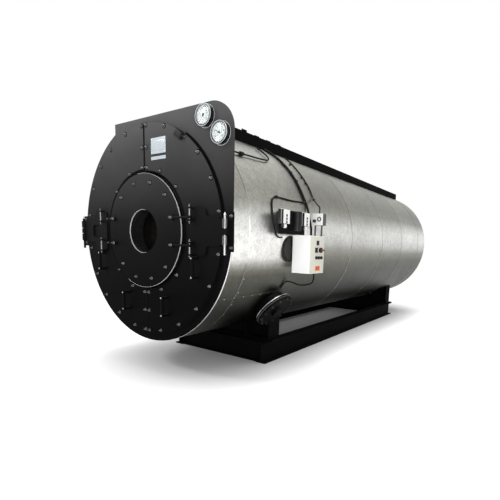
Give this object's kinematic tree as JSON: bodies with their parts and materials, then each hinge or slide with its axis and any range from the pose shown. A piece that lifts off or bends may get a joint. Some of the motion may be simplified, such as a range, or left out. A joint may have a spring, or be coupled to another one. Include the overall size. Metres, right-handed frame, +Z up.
{
  "type": "industrial boiler",
  "caption": "Horizontal fire-tube boiler on a steel skid, with split front doors round a hinged burner door, gauges, side instruments and a crown walkway.",
  "frame": {"origin": "on the floor, at the middle of the underside of the front cross beam of the skid", "axes": "+Z up, +Y along the boiler axis from the burner front to the rear, +X towards the control box side"},
  "size_m": [1.8093, 4.939, 1.8778],
  "materials": {
    "cladding_steel": "brushed",
    "black_paint": "satin",
    "skid_paint": "satin",
    "bare_steel": "dull",
    "lining": "matte",
    "zinc_steel": "satin",
    "plate_aluminium": "satin",
    "gauge_chrome": "polished",
    "white_plastic": "matte",
    "black_plastic": "matte",
    "box_paint": "satin",
    "cable_rubber": "matte"
  },
  "bodies": {
    "boiler": {"cladding_front_band": "cladding_steel", "cladding_front": "cladding_steel", "cladding_middle": "cladding_steel", "cladding_rear": "cladding_steel", "front_casing": "black_paint", "boiler_shell": "bare_steel", "tube_plate_front": "bare_steel", "tube_plate_rear": "bare_steel", "furnace_tube": "bare_steel", "fire_tubes": "bare_steel", "rear_cover": "cladding_steel", "flue_outlet": "black_paint", "hinge_bracket_left": "black_paint", "hinge_bracket_right": "black_paint", "pressure_gauges": "gauge_chrome", "skid_rails": "skid_paint", "skid_cross_beams": "skid_paint", "saddle_front": "skid_paint", "saddle_rear": "skid_paint", "walkway_deck": "skid_paint", "walkway_edges": "skid_paint", "instrument_bracket": "black_paint", "pressure_switches": "white_plastic", "level_probe": "black_plastic", "control_box": "box_paint", "box_controls": "black_plastic", "junction_box": "white_plastic", "probe_head": "black_paint", "hatch_neck": "black_paint", "hatch_cover": "black_paint", "gauge_pipe": "black_paint", "signal_cables": "cable_rubber", "box_cable": "cable_rubber"},
    "door_left": {"door_left": "black_paint", "door_lining_left": "lining", "hinge_arm_left": "black_paint", "handles_left": "black_paint"},
    "door_right": {"door_right": "black_paint", "door_lining_right": "lining", "hinge_arm_right": "black_paint", "handles_right": "black_paint", "name_plate": "plate_aluminium"},
    "burner_door": {"burner_door": "black_paint", "burner_lining": "lining", "burner_door_links": "zinc_steel"}
  },
  "joints": [
    {"name": "door_left_hinge", "type": "hinge", "parent": "boiler", "child": "door_left", "pos_m": [-0.776, -0.818, 1.06], "axis": [0, 0, -1], "range_deg": [0, 110]},
    {"name": "door_right_hinge", "type": "hinge", "parent": "boiler", "child": "door_right", "pos_m": [0.776, -0.818, 1.06], "axis": [0, 0, 1], "range_deg": [0, 110]},
    {"name": "burner_door_hinge", "type": "hinge", "parent": "door_right", "child": "burner_door", "pos_m": [0.495, -0.84, 1.06], "axis": [0, 0, 1], "range_deg": [0, 110]}
  ]
}
